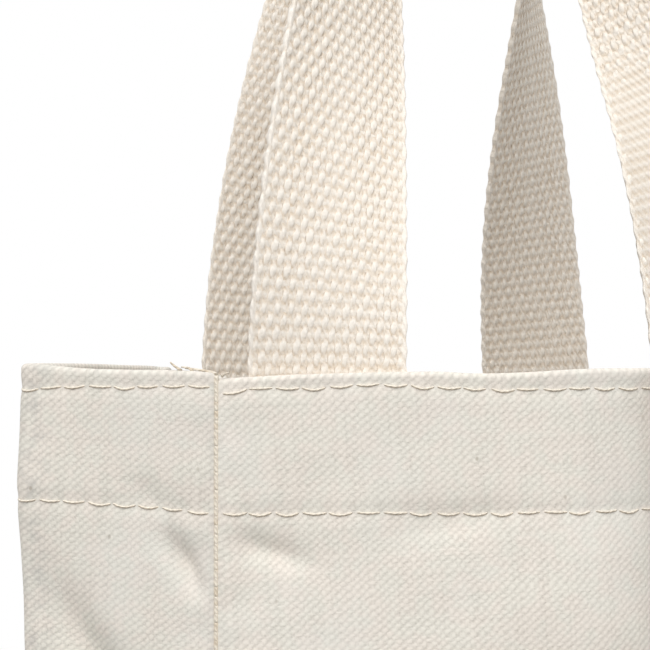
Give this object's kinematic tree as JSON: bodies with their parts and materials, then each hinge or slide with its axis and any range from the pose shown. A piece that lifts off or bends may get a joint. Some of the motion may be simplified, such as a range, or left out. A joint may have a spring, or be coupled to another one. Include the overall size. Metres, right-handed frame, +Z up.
{
  "type": "bottle carrier",
  "caption": "Tall canvas carrier bag for a bottle, with gusseted sides, a hemmed open mouth and twisted webbing loop handles that swing over the rim.",
  "frame": {"origin": "centre of the base panel's underside, on the surface the bag stands on", "axes": "+Z up towards the mouth and handles, +X to the right, +Y from the front panel to the back panel"},
  "size_m": [0.1374, 0.1026, 0.421],
  "materials": {
    "canvas": "undyed plain-weave cotton canvas",
    "webbing": "undyed cotton webbing",
    "thread": "natural sewing thread"
  },
  "bodies": {
    "bag": {"front_panel": "canvas", "back_panel": "canvas", "left_gusset": "canvas", "right_gusset": "canvas", "base_panel": "canvas", "front_left_handle_tail": "webbing", "front_right_handle_tail": "webbing", "back_left_handle_tail": "webbing", "back_right_handle_tail": "webbing", "front_top_stitches": "thread", "front_hem_stitches": "thread", "back_top_stitches": "thread", "back_hem_stitches": "thread", "left_top_stitches": "thread", "left_hem_stitches": "thread", "right_top_stitches": "thread", "right_hem_stitches": "thread", "front_left_seam_thread": "thread", "front_right_seam_thread": "thread", "back_left_seam_thread": "thread", "back_right_seam_thread": "thread", "front_base_seam_thread": "thread", "back_base_seam_thread": "thread", "left_base_seam_thread": "thread", "right_base_seam_thread": "thread"},
    "front_handle": {"front_handle_strap": "webbing"},
    "back_handle": {"back_handle_strap": "webbing"}
  },
  "joints": [
    {"name": "front_handle_swing", "type": "hinge", "parent": "bag", "child": "front_handle", "pos_m": [-0.00026, -0.04325, 0.2804], "axis": [0.9939, -0.1106, 0], "range_deg": [0, 165]},
    {"name": "back_handle_swing", "type": "hinge", "parent": "bag", "child": "back_handle", "pos_m": [-0.00026, 0.04325, 0.2804], "axis": [-0.9939, -0.1106, 0], "range_deg": [0, 165]}
  ]
}
